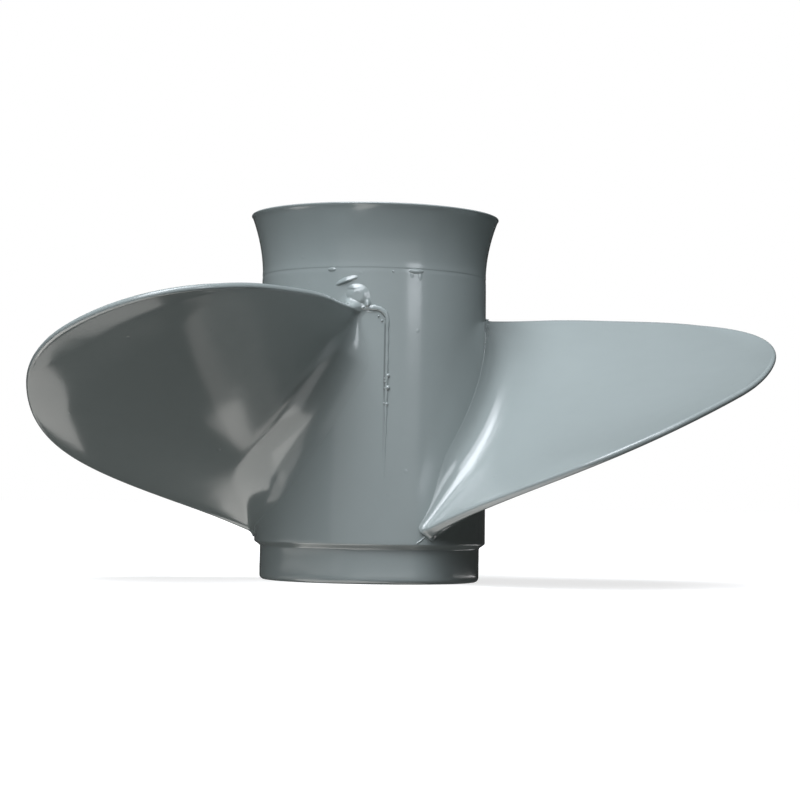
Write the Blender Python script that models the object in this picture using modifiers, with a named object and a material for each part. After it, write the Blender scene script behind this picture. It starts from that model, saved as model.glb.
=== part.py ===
"""Three-blade boat propeller: a painted aluminium casting, a rubber bush and a splined brass sleeve.

It stands on its front rim with the flared aft end up. The shaft axis is Z, and Z = 0 is the front rim.
Lengths are in millimetres until MM turns them into metres, and angles are in degrees.
"""

import math

import bmesh
import bpy
import numpy as np
from mathutils import Matrix, Vector

MM = 0.001
INCH = 25.4
GAP = 0.3  # between neighbouring pieces
RING_STEPS = 72
MERGE_DISTANCE = 0.01 * MM

# Barrel, flare and front collar
HEIGHT = 128.5
SEAM_HEIGHT = 106.7  # where the flare begins
BARREL_FRONT = 13.0  # the barrel's lower edge, above its chamfer
BARREL_AFT_RADIUS = 39.7
BARREL_FRONT_RADIUS = 40.8
BARREL_BORE_RADIUS = 35.8
CHAMFER_HEIGHT = 1.4
FLARE_BASE_RADIUS = 39.6
FLARE_RIM_RADIUS = 44.1
FLARE_WALL = 3.4
FLARE_LIP = 0.5
COLLAR_HEIGHT = 11.3
COLLAR_RADIUS = 38.7
COLLAR_BORE_RADIUS = 34.8
COLLAR_CORNER = 1.6

# Inner hub, ribs, bush and sleeve
HUB_RADIUS = 26.0
HUB_BORE_RADIUS = 22.0
HUB_FRONT, HUB_AFT = 9.0, 101.0
RIB_THICKNESS = 6.0
RIB_FRONT, RIB_AFT = 14.0, 96.0
BUSH_FRONT, BUSH_AFT = 13.0, 95.0
BUSH_STEPS = 48
SLEEVE_RADIUS = 14.0
SLEEVE_FRONT, SLEEVE_AFT = 6.0, 108.0
SPLINE_COUNT = 13
SPLINE_MAJOR_RADIUS = 11.0
SPLINE_MINOR_RADIUS = 9.75

# Blades
BLADE_COUNT = 3
BLADE_AZIMUTH = 297.1  # of the first blade's leading edge at its root
TIP_RADIUS = 11.125 * INCH / 2
PITCH = 13 * INCH
ROOT_RADIUS = 40.0  # where the rake is measured from
BLADE_FOOT = 16.2  # height of the leading edge at its root
RAKE = 0.18
RAKE_CURVE = 0.00027
TIP_EDGE, ROOT_EDGE = 1.1, 1.3  # half the thickness of the blade's edge
NOSE_SWELL, NOSE_RUN = 0.6, 0.3  # what the leading edge's root adds to it, and over which share of the chord
TIP_BLUNTNESS, ROOT_BLUNTNESS = 2.1, 3.6  # 2 is a round edge, and more is a flatter one
ROOT_THICKNESS = 9.0
TIP_THICKNESS = 3.0
CAMBER_POWER = 0.8
RIB_SWEEP = 42.0  # from a blade's leading edge at the root to the rib behind it

# Fillets between blade and barrel: at the leading edge, along the root, at the trailing edge
PRESSURE_FILLET = (3.0, 11.0, 6.0)
SUCTION_FILLET = (3.0, 13.0, 3.0)
NOSE_FILLET, TAIL_FILLET = 0.8, 6.0  # round the two ends of the root
LEADING_RUN, TRAILING_RUN = 0.3, 0.14  # shares of the chord over which the fillets grow
FILLET_BLUNTNESS = 2.4  # 2 is a quarter round, and more lands more softly

# Cup: the tip's trailing part bends up towards the pressure side
CUP_HEIGHT = 1.3
CUP_WIDTH = 9.4
CUP_START, CUP_MIDDLE, CUP_END = 38.0, 50.0, 69.5  # sweeps where it begins, is widest and runs out
CUP_ROOT_RADIUS = 100.0  # nothing is cupped inside it

# Middle of the blade's rounded edge as (radius, sweep): leading edge outwards, tip, trailing edge inwards
EDGE_LINE = (
    (40.8, 2.1), (52.3, 4.5), (73.2, 8.3), (107.7, 18.3), (130.9, 35.6), (137.6, 42.7),
    (136.0, 60.4), (113.3, 71.1), (90.7, 75.5), (70.2, 78.8), (55.2, 80.5), (39.9, 82.8),
)
LEADING_CORNER, TRAILING_CORNER = 5, 6  # points of the line at the two ends of the tip
EDGE_SAMPLES = 600

# Where a blade's mesh is cut: shares of the chord, distances from the barrel, shares of the thickness
COLUMNS = (0.03, 0.08, 0.15, 0.23, 0.32, 0.41, 0.5, 0.59, 0.68, 0.77, 0.85, 0.92, 0.965)
ROWS = (0.6, 1.8, 3.8, 7, 13, 20, 30, 40, 51, 62, 72, 80, 87, 92, 95.5)
LAYER_COUNT = 7

ENAMEL = (0.27, 0.29, 0.29)
BRASS = (0.62, 0.45, 0.2)
RUBBER = (0.02, 0.02, 0.02)


def clear_scene():
    for item in list(bpy.data.objects):
        bpy.data.objects.remove(item, do_unlink=True)


def finish(name, colour, metallic, roughness):
    material = bpy.data.materials.new(name)
    material.use_nodes = True
    shader = material.node_tree.nodes["Principled BSDF"]
    shader.inputs["Base Color"].default_value = (*colour, 1)
    shader.inputs["Metallic"].default_value = metallic
    shader.inputs["Roughness"].default_value = roughness
    return material


def add_object(name, data, material, collection):
    data.materials.append(material)
    piece = bpy.data.objects.new(name, data)
    collection.objects.link(piece)
    return piece


def ring(name, outside, inside, steps, material, collection):
    """A turned ring. Outside runs from top to bottom and inside back up, both as (radius, height)."""
    profile = [(radius * MM, 0, height * MM) for radius, height in (*outside, *inside)]
    edges = [(i, (i + 1) % len(profile)) for i in range(len(profile))]
    mesh = bpy.data.meshes.new(name)
    mesh.from_pydata(profile, edges, [])
    piece = add_object(name, mesh, material, collection)
    screw = piece.modifiers.new("turn", "SCREW")
    screw.steps = screw.render_steps = steps
    screw.use_merge_vertices = True
    screw.merge_threshold = MERGE_DISTANCE
    screw.use_smooth_shade = True
    return piece


def barrel_radius(height):
    """The barrel tapers a little, as the draft of its mould needs."""
    share = (height - BARREL_FRONT) / (SEAM_HEIGHT - BARREL_FRONT)
    return BARREL_FRONT_RADIUS + (BARREL_AFT_RADIUS - BARREL_FRONT_RADIUS) * share


def flare_radius(height):
    """The flare's outside widens with the square of the height above the seam."""
    share = (height - SEAM_HEIGHT) / (HEIGHT - SEAM_HEIGHT)
    return FLARE_BASE_RADIUS + (FLARE_RIM_RADIUS - FLARE_BASE_RADIUS) * share**2


def make_barrel(material, collection):
    foot = BARREL_FRONT - CHAMFER_HEIGHT
    outside = [
        (BARREL_AFT_RADIUS, SEAM_HEIGHT),
        (BARREL_FRONT_RADIUS, BARREL_FRONT),
        (COLLAR_RADIUS + GAP, foot),
    ]
    inside = [(BARREL_BORE_RADIUS, foot), (BARREL_BORE_RADIUS, SEAM_HEIGHT)]
    ring("barrel", outside, inside, RING_STEPS, material, collection)


def make_flare(material, collection):
    base, shoulder = SEAM_HEIGHT + GAP, HEIGHT - FLARE_LIP
    outside = [(FLARE_RIM_RADIUS - FLARE_LIP, HEIGHT)]
    outside += [(flare_radius(height), height) for height in np.linspace(shoulder, base, 6)]
    inside = [(flare_radius(height) - FLARE_WALL, height) for height in np.linspace(base, shoulder, 4)]
    inside += [(FLARE_RIM_RADIUS - FLARE_WALL + FLARE_LIP, HEIGHT)]
    ring("exhaust_flare", outside, inside, RING_STEPS, material, collection)


def make_collar(material, collection):
    corner = [
        (COLLAR_RADIUS - COLLAR_CORNER * (1 - math.cos(turn)), COLLAR_CORNER * (1 - math.sin(turn)))
        for turn in (0, math.pi / 4, math.pi / 2)
    ]
    outside = [(COLLAR_RADIUS, COLLAR_HEIGHT), *corner]
    inside = [(COLLAR_BORE_RADIUS, 0), (COLLAR_BORE_RADIUS, COLLAR_HEIGHT)]
    ring("front_collar", outside, inside, RING_STEPS, material, collection)


def make_tube(name, radius, bore, front, aft, steps, material, collection):
    ring(name, [(radius, aft), (radius, front)], [(bore, front), (bore, aft)], steps, material, collection)


def circle(radius, count):
    turns = [2 * math.pi * i / count for i in range(count)]
    return [(radius * math.cos(turn), radius * math.sin(turn)) for turn in turns]


def spline_outline():
    """The sleeve's toothed bore: each tooth has a groove floor, two flanks and a land."""
    outline = []
    for tooth in range(SPLINE_COUNT):
        for share, radius in (
            (-0.24, SPLINE_MAJOR_RADIUS),
            (0.24, SPLINE_MAJOR_RADIUS),
            (0.36, SPLINE_MINOR_RADIUS),
            (0.64, SPLINE_MINOR_RADIUS),
        ):
            turn = 2 * math.pi * (tooth + share) / SPLINE_COUNT
            outline.append((radius * math.cos(turn), radius * math.sin(turn)))
    return outline


def make_sleeve(material, collection):
    curve = bpy.data.curves.new("splined_sleeve", "CURVE")
    curve.dimensions = "2D"
    curve.fill_mode = "BOTH"
    curve.extrude = (SLEEVE_AFT - SLEEVE_FRONT) / 2 * MM
    for outline in (circle(SLEEVE_RADIUS, 4 * SPLINE_COUNT), spline_outline()):
        spline = curve.splines.new("POLY")
        spline.points.add(len(outline) - 1)
        for point, (x, y) in zip(spline.points, outline):
            point.co = (x * MM, y * MM, 0, 1)
        spline.use_cyclic_u = True
    sleeve = add_object("splined_sleeve", curve, material, collection)
    sleeve.location.z = (SLEEVE_AFT + SLEEVE_FRONT) / 2 * MM


def make_rib(number, material, collection):
    """A straight web between the inner hub and the barrel, behind the middle of a blade's root."""
    inner, outer = HUB_RADIUS + GAP, BARREL_BORE_RADIUS - GAP
    azimuth = math.radians(BLADE_AZIMUTH + RIB_SWEEP + 360 / BLADE_COUNT * (number - 1))
    size = Vector((outer - inner, RIB_THICKNESS, RIB_AFT - RIB_FRONT)) * MM
    mesh = bpy.data.meshes.new(f"rib_{number}")
    cube = bmesh.new()
    bmesh.ops.create_cube(cube, size=1, matrix=Matrix.Diagonal((*size, 1)))
    cube.to_mesh(mesh)
    cube.free()
    rib = add_object(f"rib_{number}", mesh, material, collection)
    middle = (inner + outer) / 2
    rib.location = Vector((
        middle * math.cos(azimuth), middle * math.sin(azimuth), (RIB_FRONT + RIB_AFT) / 2
    )) * MM
    rib.rotation_euler.z = azimuth


def blade_height(radius, sweep):
    """Height of the blade's helical surface, with the rake that leans it aft towards the tip."""
    out = radius - ROOT_RADIUS
    return BLADE_FOOT + PITCH * sweep / 360 + RAKE * out - RAKE_CURVE * out**2


def place(radius, sweep, height):
    turn = math.radians(sweep)
    return np.array([radius * math.cos(turn), radius * math.sin(turn), height])


def surface_point(radius, sweep):
    return place(radius, sweep, blade_height(radius, sweep))


def helix(radius):
    """Along the helix to the trailing edge, and out of the pressure face, both as (outwards, round, up)."""
    slope = math.atan(PITCH / (2 * math.pi * radius))
    return np.array([0, math.cos(slope), math.sin(slope)]), np.array([0, -math.sin(slope), math.cos(slope)])


class EdgeCurve:
    """A natural cubic spline through EDGE_LINE, by distance along it."""

    def __init__(self, points):
        mm_per_degree = math.radians(100)
        self.unit = np.array([1, mm_per_degree])
        self.points = np.array(points, float) * self.unit
        steps = np.linalg.norm(np.diff(self.points, axis=0), axis=1)
        self.knots = np.append(0, np.cumsum(steps))
        system, bend = np.eye(len(points)), np.zeros_like(self.points)
        slopes = np.diff(self.points, axis=0) / steps[:, None]
        for i in range(1, len(points) - 1):
            system[i, i - 1 : i + 2] = steps[i - 1], 2 * (steps[i - 1] + steps[i]), steps[i]
            bend[i] = 6 * (slopes[i] - slopes[i - 1])
        self.bend = np.linalg.solve(system, bend)
        self.samples = np.linspace(0, self.knots[-1], EDGE_SAMPLES)
        places = np.array([self.at(distance) for distance in self.samples])
        self.radii = places[:, 0]
        self.rim = np.array([surface_point(*spot) for spot in places])

    def at(self, distance):
        i = int(np.clip(np.searchsorted(self.knots, distance) - 1, 0, len(self.knots) - 2))
        step = self.knots[i + 1] - self.knots[i]
        before, after = self.knots[i + 1] - distance, distance - self.knots[i]
        value = (self.bend[i] * before**3 + self.bend[i + 1] * after**3) / (6 * step)
        value += (self.points[i] / step - self.bend[i] * step / 6) * before
        value += (self.points[i + 1] / step - self.bend[i + 1] * step / 6) * after
        return value / self.unit

    def leading_at(self, radius):
        outwards = self.samples <= self.knots[LEADING_CORNER]
        return float(np.interp(radius, self.radii[outwards], self.samples[outwards]))

    def trailing_at(self, radius):
        inwards = self.samples >= self.knots[TRAILING_CORNER]
        return float(np.interp(radius, self.radii[inwards][::-1], self.samples[inwards][::-1]))

    def outward(self, distance):
        """In the blade's surface, square to the edge and away from the blade, as (outwards, round, up)."""
        step = 0.5
        before, after = self.at(distance - step), self.at(distance + step)
        radius = self.at(distance)[0]
        rise = blade_height(*after) - blade_height(*before)
        run = np.array([after[0] - before[0], math.radians(after[1] - before[1]) * radius, rise])
        out = np.cross(run, helix(radius)[1])
        return out / np.linalg.norm(out)

    def inset(self, point):
        """How far inside the edge line a point of the blade's middle surface lies."""
        return float(np.linalg.norm(self.rim - point, axis=1).min())


EDGE = EdgeCurve(EDGE_LINE)


def root_point(chord):
    """Where the blade's middle surface meets the barrel."""
    sweep = EDGE_LINE[0][1] + (EDGE_LINE[-1][1] - EDGE_LINE[0][1]) * chord
    return np.array([barrel_radius(blade_height(ROOT_RADIUS, sweep)) + GAP, sweep])


def edge_distance(chord, span):
    """How far along the edge line a point of the blade's rim lies."""
    if span == 1:
        first, last = EDGE.knots[LEADING_CORNER], EDGE.knots[TRAILING_CORNER]
        return first + (last - first) * chord
    corner = EDGE_LINE[TRAILING_CORNER if chord else LEADING_CORNER][0]
    start = root_point(chord)[0]
    radius = start + (corner - start) * span
    return EDGE.trailing_at(radius) if chord else EDGE.leading_at(radius)


def blade_sheet(chord, span):
    """(radius, sweep) inside the edge line, blended from its four sides."""
    lead, trail = EDGE.at(edge_distance(0, span)), EDGE.at(edge_distance(1, span))
    root, tip = root_point(chord), EDGE.at(edge_distance(chord, 1))
    corners = (1 - chord) * ((1 - span) * root_point(0) + span * EDGE.at(edge_distance(0, 1)))
    corners += chord * ((1 - span) * root_point(1) + span * EDGE.at(edge_distance(1, 1)))
    return (1 - span) * root + span * tip + (1 - chord) * lead + chord * trail - corners


def ease(share):
    share = min(max(share, 0), 1)
    return share * share * (3 - 2 * share)


def fillet(distance, reach):
    """How far a fillet of this reach stands off at this distance from the barrel."""
    share = min(max(1 - distance / reach, 0), 1)
    return reach * (1 - (1 - share**FILLET_BLUNTNESS) ** (1 / FILLET_BLUNTNESS))


def fillet_reach(chord, sizes):
    """A fillet's size at this share of the chord."""
    leading, middle, trailing = sizes
    grown = leading + (middle - leading) * ease(chord / LEADING_RUN)
    return grown + (trailing - middle) * ease((chord - 1 + TRAILING_RUN) / TRAILING_RUN)


def cup(radius, sweep):
    """Lift towards the pressure side, in a band along the rim that begins at a soft crease."""
    if sweep < CUP_MIDDLE:
        width = CUP_WIDTH * ease((sweep - CUP_START) / (CUP_MIDDLE - CUP_START))
    else:
        run_out, taper = min((sweep - CUP_MIDDLE) / (CUP_END - CUP_MIDDLE), 1), 2.2
        width = CUP_WIDTH * (1 - run_out**taper)
    if radius < CUP_ROOT_RADIUS or width < GAP:
        return 0
    share, bend = max(1 - EDGE.inset(surface_point(radius, sweep)) / width, 0), 1.6
    return CUP_HEIGHT * width / CUP_WIDTH * share**bend


def flatter(share, bluntness):
    """A sine or cosine spread out, so that the circle it draws is squarer."""
    return math.copysign(abs(share) ** (2 / bluntness), share)


def edge_half(chord, span):
    nose = NOSE_SWELL * max(1 - chord / NOSE_RUN, 0) ** 2 * (1 - span) ** 6
    return TIP_EDGE + (ROOT_EDGE - TIP_EDGE) * (1 - span) ** 2 + nose


def rim_offset(chord, span, layer, stand_off):
    """From the edge line to the rounded edge, which swells into a fillet round the end of the root."""
    distance = edge_distance(chord, span)
    along, across = helix(EDGE.at(distance)[0])
    turn = math.pi * (layer - 0.5)
    bluntness = TIP_BLUNTNESS + (ROOT_BLUNTNESS - TIP_BLUNTNESS) * (1 - span)
    out = flatter(math.cos(turn), bluntness) * EDGE.outward(distance)
    offset = edge_half(chord, span) * (out + flatter(math.sin(turn), bluntness) * across)
    if span < 1:
        end = TAIL_FILLET if chord else NOSE_FILLET
        side = fillet_reach(chord, PRESSURE_FILLET if turn > 0 else SUCTION_FILLET)
        swell = fillet(stand_off, end + (side - end) * math.sin(turn) ** 2)
        offset = offset + swell * (math.cos(turn) * (along if chord else -along) + math.sin(turn) * across)
    return offset


def face_offset(chord, span, layer, radius, stand_off):
    """From the middle surface to a face: the pressure face is flat, and the suction face cambered."""
    share = (radius - ROOT_RADIUS) / (TIP_RADIUS - ROOT_RADIUS)
    half = edge_half(chord, span)
    bulge = ROOT_THICKNESS + (TIP_THICKNESS - ROOT_THICKNESS) * share - 2 * half
    bulge *= (4 * chord * (1 - chord)) ** CAMBER_POWER * ease(4 * (1 - span))
    low = -half - bulge - fillet(stand_off, fillet_reach(chord, SUCTION_FILLET))
    high = half + fillet(stand_off, fillet_reach(chord, PRESSURE_FILLET))
    return (low + (high - low) * layer) * helix(radius)[1]


def blade_point(chord, span, layer):
    """Where a point of the cut cube goes: layer runs from the suction side, 0, to the pressure side, 1."""
    radius, sweep = blade_sheet(chord, span)
    height = blade_height(radius, sweep)
    stand_off = max(radius - barrel_radius(height), 0)
    if chord in (0, 1) or span == 1:
        offset = rim_offset(chord, span, layer, stand_off)
    else:
        offset = face_offset(chord, span, layer, radius, stand_off)
    outwards, round_shaft, up = offset + cup(radius, sweep) * helix(radius)[1]
    moved_height = height + up
    floor = barrel_radius(moved_height) + GAP
    moved_radius = radius + outwards + barrel_radius(moved_height) - barrel_radius(height)
    moved_radius = max(moved_radius, floor) if span else floor
    return place(moved_radius, sweep + math.degrees(round_shaft / radius), moved_height)


def cut_cube():
    """A unit cube, cut across at the blade's columns, rows and layers."""
    cube = bmesh.new()
    bmesh.ops.create_cube(cube, size=1, matrix=Matrix.Translation((0.5, 0.5, 0.5)))
    reach = EDGE_LINE[LEADING_CORNER][0] - root_point(0)[0]
    layers = [layer / LAYER_COUNT for layer in range(1, LAYER_COUNT)]
    for axis, places in enumerate((COLUMNS, [row / reach for row in ROWS], layers)):
        across = Vector([i == axis for i in range(3)])
        for share in places:
            everything = cube.verts[:] + cube.edges[:] + cube.faces[:]
            bmesh.ops.bisect_plane(cube, geom=everything, plane_co=across * share, plane_no=across)
    return cube


def blade_mesh():
    blade = cut_cube()
    for vertex in blade.verts:
        chord, span, layer = (round(value, 6) for value in vertex.co)
        vertex.co = Vector(blade_point(chord, span, layer)) * MM
    blade.normal_update()
    bmesh.ops.recalc_face_normals(blade, faces=blade.faces)
    mesh = bpy.data.meshes.new("blade")
    blade.to_mesh(mesh)
    blade.free()
    mesh.shade_smooth()
    return mesh


def make_blade(number, mesh, material, collection):
    blade = add_object(f"blade_{number}", mesh.copy(), material, collection)
    blade.rotation_euler.z = math.radians(BLADE_AZIMUTH + 360 / BLADE_COUNT * (number - 1))


def build():
    clear_scene()
    propeller = bpy.data.collections.new("propeller")
    bpy.context.scene.collection.children.link(propeller)
    enamel = finish("grey_enamel", ENAMEL, 0.1, 0.3)
    rubber = finish("black_rubber", RUBBER, 0, 0.8)
    brass = finish("turned_brass", BRASS, 1, 0.35)

    make_barrel(enamel, propeller)
    make_flare(enamel, propeller)
    make_collar(enamel, propeller)
    make_tube("inner_hub", HUB_RADIUS, HUB_BORE_RADIUS, HUB_FRONT, HUB_AFT, RING_STEPS, enamel, propeller)
    bush_radius, bush_bore = HUB_BORE_RADIUS - GAP, SLEEVE_RADIUS + GAP
    make_tube("rubber_bush", bush_radius, bush_bore, BUSH_FRONT, BUSH_AFT, BUSH_STEPS, rubber, propeller)
    make_sleeve(brass, propeller)
    mesh = blade_mesh()
    for number in range(1, BLADE_COUNT + 1):
        make_blade(number, mesh, enamel, propeller)
        make_rib(number, enamel, propeller)
    bpy.data.meshes.remove(mesh)


build()
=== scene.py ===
"""Looks of a three-blade boat propeller: gloss grey enamel on a casting, a rubber bush and a brass sleeve.

Lengths are in metres and angles in degrees. The shaft axis is Z and Z = 0 is the floor.
"""

import math

import bmesh
import bpy
import numpy as np
from mathutils import Matrix, Vector
from mathutils.bvhtree import BVHTree


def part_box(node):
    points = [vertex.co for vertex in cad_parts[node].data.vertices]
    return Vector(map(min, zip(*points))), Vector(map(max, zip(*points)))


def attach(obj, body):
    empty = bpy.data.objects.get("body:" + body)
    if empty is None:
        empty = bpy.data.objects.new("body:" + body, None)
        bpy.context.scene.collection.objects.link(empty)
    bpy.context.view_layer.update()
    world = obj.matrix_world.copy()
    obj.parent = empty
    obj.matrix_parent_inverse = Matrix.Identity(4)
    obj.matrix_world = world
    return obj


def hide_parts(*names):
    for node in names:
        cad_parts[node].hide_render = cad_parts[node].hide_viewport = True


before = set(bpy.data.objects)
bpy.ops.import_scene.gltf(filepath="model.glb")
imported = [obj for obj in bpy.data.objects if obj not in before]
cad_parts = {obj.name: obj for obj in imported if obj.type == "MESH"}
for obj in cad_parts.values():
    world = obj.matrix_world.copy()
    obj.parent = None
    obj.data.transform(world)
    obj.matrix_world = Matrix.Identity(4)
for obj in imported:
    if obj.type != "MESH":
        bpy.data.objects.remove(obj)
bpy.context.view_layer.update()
MM = 0.001
INCH = 25.4 * MM

# Sizes from the frame
BARREL_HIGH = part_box("barrel")[1]
FLARE_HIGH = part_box("exhaust_flare")[1]
COLLAR_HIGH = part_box("front_collar")[1]
HUB_LOW, HUB_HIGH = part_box("inner_hub")
BUSH_LOW, BUSH_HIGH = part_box("rubber_bush")
SLEEVE_LOW, SLEEVE_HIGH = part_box("splined_sleeve")
RIB_LOW, RIB_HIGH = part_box("rib_1")
HEIGHT = FLARE_HIGH.z
SEAM_HEIGHT = BARREL_HIGH.z
COLLAR_RADIUS = COLLAR_HIGH.x
BARREL_FRONT_RADIUS = BARREL_HIGH.x
FLARE_RIM_RADIUS = FLARE_HIGH.x

# Hub shell, inner hub, webs and sleeve
BARREL_FRONT = 13.0 * MM
BARREL_AFT_RADIUS = 39.7 * MM
BARREL_BORE_RADIUS = 35.8 * MM
COLLAR_BORE_RADIUS = 34.8 * MM
HUB_BORE_RADIUS = 22.0 * MM
BUSH_CLEARANCE = 0.02 * MM
WEB_THICKNESS = 5.4 * MM
WEB_ROOT = 2.6 * MM  # the fillet at both walls
WEB_SCOOP, WEB_CORNER = 2.0 * MM, 1.6 * MM  # how far a web's end is hollowed, and its side edges drawn back
WEB_BLUNTNESS = 2.6
SPLINE_COUNT = 13
SPLINE_MAJOR_RADIUS = 11.0 * MM
SPLINE_MINOR_RADIUS = 9.75 * MM
SPLINE_LAND, SPLINE_FLANK = 0.26, 0.1  # shares of a spline's pitch
SPLINE_LEAD_IN = 1.9 * MM
FLARE_BASE_RADIUS = 39.6 * MM
FOOT_TOP, FOOT_BOTTOM = 13.75 * MM, 11.45 * MM  # where the round corners of the foot's chamfer end
FOOT_CORNER, CHAMFER_LEAN = 0.8 * MM, 55
FLARE_WALL = 3.4 * MM
RIM_LIP = 0.4 * MM
COLLAR_CORNER = 1.6 * MM
BORE_CORNER = 0.8 * MM
SEAM_PROFILE = (  # (out, up) in mm: the flare's lower edge overhangs a soft, low bead on the barrel's top
    (-0.04, 1.2), (-0.02, 0.5), (-0.02, 0.35), (-0.05, 0.2), (-0.08, 0.05), (-0.08, -0.15),
    (-0.055, -0.55), (-0.02, -1.0), (0.0, -1.4), (0.0, -2.0),
)
SHELL_STEPS = 256

# Blades
BLADE_COUNT = 3
BLADE_AZIMUTH = 297.1  # of the first blade's leading edge at its root
TIP_RADIUS = 11.125 * INCH / 2
PITCH = 13 * INCH
ROOT_RADIUS = 40.0 * MM
BLADE_FOOT = 16.2 * MM
RAKE = 0.18
RAKE_CURVE = 0.27
TIP_EDGE, ROOT_EDGE = 1.1 * MM, 1.3 * MM  # half the thickness of the blade's edge
NOSE_SWELL, NOSE_RUN = 0.6 * MM, 0.3  # what the leading edge's root adds, over which share of the chord
TIP_BLUNTNESS, ROOT_BLUNTNESS = 2.1, 3.6  # 2 is a round edge, and more is a flatter one
ROOT_THICKNESS = 9.0 * MM
TIP_THICKNESS = 3.0 * MM
CAMBER_POWER = 0.8
FILLET_BLUNTNESS = 2.4
PRESSURE_FILLET = (3.0 * MM, 11.0 * MM, 6.0 * MM)  # at the leading edge, along the root, at the trailing edge
SUCTION_FILLET = (3.0 * MM, 13.0 * MM, 3.0 * MM)
NOSE_FILLET, TAIL_FILLET = 0.8 * MM, 6.0 * MM  # round the two ends of the root
LEADING_RUN, TRAILING_RUN = 0.3, 0.14  # shares of the chord over which the fillets grow
CUP_HEIGHT = 1.3 * MM
CUP_WIDTH = 9.4 * MM
CUP_START, CUP_MIDDLE, CUP_END = 38.0, 50.0, 69.5  # sweeps where the cup begins, is widest and runs out
CUP_INNER_RADIUS = 100 * MM
RIB_SWEEP = 42.0  # from a blade's leading edge at the root to the web behind it
EDGE_LINE = (
    (40.8, 2.1), (52.3, 4.5), (73.2, 8.3), (107.7, 18.3), (130.9, 35.6), (137.6, 42.7),
    (136.0, 60.4), (113.3, 71.1), (90.7, 75.5), (70.2, 78.8), (55.2, 80.5), (39.9, 82.8),
)
LEADING_CORNER, TRAILING_CORNER = 5, 6
CHORD_CUTS, SPAN_CUTS, LAYER_CUTS = 71, 99, 9
FOOT_SHARE = 0.24  # of the rows, which lie on the fillet
SINK = 0.02 * MM  # how far a fillet's foot goes into the wall that it runs out on

# Parting line of the mould, by sweep from the blade's leading edge and height
PARTING_SWEEP, PARTING_CORNER, PARTING_HEIGHT, PARTING_FOOT = 99.3, 6.0, 92.8 * MM, 36 * MM
PARTING_FADE = 34 * MM  # over which the line grows from its foot upwards
PARTING_SWELL, SWELL_HEIGHT, SWELL_RISE = 0.45, 87 * MM, 5 * MM  # what its top adds, and where
RIDGE_SIDES, RIDGE_HEIGHT, RIDGE_INNER, RIDGE_OUTER = 12, 0.42 * MM, 0.4 * MM, 0.85 * MM
CREASE_FROM, CREASE_TO, CREASE_EDGE = 98.3, 98.7, 0.4  # sweeps of the painted shade in the crease beside it; its soft edge
CREASE_TOP, CREASE_FADE = (89 * MM, 87 * MM), (58 * MM, 70 * MM)  # heights
PAINTED_SHADE_DARKNESS, CREASE_FAINTNESS = 0.42, 0.3  # darkness of the painted shade at its top, and the share of it left below CREASE_FADE
HUB_OUTSIDE = (38 * MM, 38.5 * MM)  # radii between which the hub's outer skin begins
NOSE_LINE = ((0.4, 16.6), (-0.6, 15.9), (-1.8, 15.2), (-3.0, 14.6), (-4.2, 14.0))  # (sweep, height in mm)
PARTING_BEADS = (  # (sweep, height in mm, size in mm)
    (100.2, 70.3, 0.75), (98.9, 69.2, 0.5), (99.0, 68.2, 0.6), (100.2, 66.2, 0.85), (98.9, 66.0, 0.45),
    (99.8, 60.6, 0.7), (98.6, 60.9, 0.4), (95.3, 90.4, 0.45), (97.0, 88.8, 0.45), (98.6, 89.6, 0.4),
    (83.4, 93.4, 0.9), (85.0, 92.9, 0.7), (86.8, 93.3, 0.95), (88.8, 92.8, 0.7), (90.6, 93.1, 0.8),
    (92.6, 92.8, 0.6),
)
# The end of the trailing edge's root: a boss and lumps, laid out from its middle to the right and up, in mm
MARK_SWEEP, MARK_HEIGHT, MARK_REACH = 84.9, 96.9 * MM, 9.4
MARK_FACE, MARK_SHOULDER, MARK_RISE = 1.5, 5.0, 1.2  # the boss's flat face, where it ends, and its height
MARK_LIMIT = 3.2  # how far off the barrel the grid follows the blade
MARK_SINK, MARK_HEM, MARK_HEM_SINK = 0.12, (8.6, 9.4), 0.4  # the grid lies in the skin, and deeper at its hem
LUMP_SKEW = (1.7, 0.8)  # a lump's reach upwards and downwards, as shares of its half height
MARK_LUMPS = (  # (right, up, half width, half height, turn in degrees, thickness)
    (-4.0, 5.1, 5.6, 1.1, 19, 0.9), (-1.6, 2.9, 2.8, 0.9, 0, 0.35), (-2.9, -2.4, 2.1, 1.3, 15, 1.2),
    (3.6, -3.0, 1.5, 1.8, 0, 1.2), (2.1, -4.0, 0.9, 0.7, 0, 0.6),
    (0.2, -5.0, 1.7, 0.6, 0, 0.6), (4.2, -5.2, 2.2, 0.5, 0, 0.4),
)
SEAM_RUNS = (  # (azimuth, height, half width, depth, half height), in degrees and mm
    (248.8, 106.1, 1.5, 0.35, 0.7), (290.9, 106.0, 2.8, 0.32, 0.9), (288.7, 104.6, 0.9, 0.13, 1.6),
    (293.2, 104.2, 1.0, 0.15, 2.0), (279.2, 105.6, 0.4, 0.3, 0.4),
)

# Camera, as fitted to the photograph
CAMERA_PLACE = Vector((0, -764.6, 29.2)) * MM
CAMERA_PITCH, CAMERA_YAW, CAMERA_ROLL = 2.602, 0.741, 1.011
CAMERA_LENS = 97.04
LIGHT_AIM = Vector((0, 0, 60)) * MM
AIR = 0.035  # brightness of the dark studio round the lights

ENAMEL = (0.205, 0.235, 0.23)
WHITE, COOL, WARM = (1, 1, 1), (0.955, 0.98, 1.045), (1.02, 1.0, 0.965)


def deselect():
    bpy.ops.object.select_all(action="DESELECT")


def pick(piece):
    """Selects one piece alone, and makes it the active one."""
    deselect()
    piece.select_set(True)
    bpy.context.view_layer.objects.active = piece


def edit(piece):
    """Opens one piece alone in edit mode, with all of it selected."""
    pick(piece)
    bpy.ops.object.mode_set(mode="EDIT")
    bpy.ops.mesh.select_all(action="SELECT")


def leave_edit():
    bpy.ops.object.mode_set(mode="OBJECT")


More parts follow.
